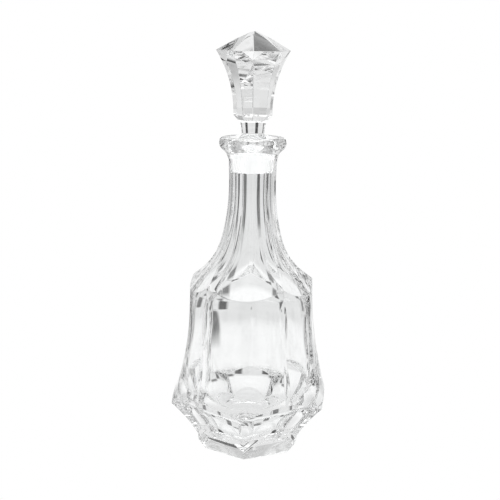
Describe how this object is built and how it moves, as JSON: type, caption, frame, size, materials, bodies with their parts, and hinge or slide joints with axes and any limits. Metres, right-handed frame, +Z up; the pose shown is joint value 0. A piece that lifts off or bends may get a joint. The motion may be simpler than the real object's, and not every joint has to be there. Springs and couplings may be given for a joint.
{
  "type": "cut crystal decanter",
  "caption": "Five-sided cut crystal decanter with a panelled neck, a turned lip, a pointed foot and a pentagonal glass stopper with a ground plug.",
  "frame": {"origin": "centre of the plane that the foot rests on, on the bottle's axis", "axes": "+Z up along the axis of the bottle and stopper; -Y out through the middle of one of the five faces"},
  "size_m": [0.121, 0.1239, 0.33],
  "materials": {
    "crystal": "polished clear crystal",
    "stopper_crystal": "polished clear crystal with a frosted ground plug"
  },
  "bodies": {
    "bottle_body": {"bottle": "crystal"},
    "stopper_body": {"stopper": "stopper_crystal"}
  },
  "joints": [
    {"name": "stopper_lift", "type": "slide", "parent": "bottle_body", "child": "stopper_body", "axis": [0, 0, 1], "range_m": [0, 0.045]}
  ]
}
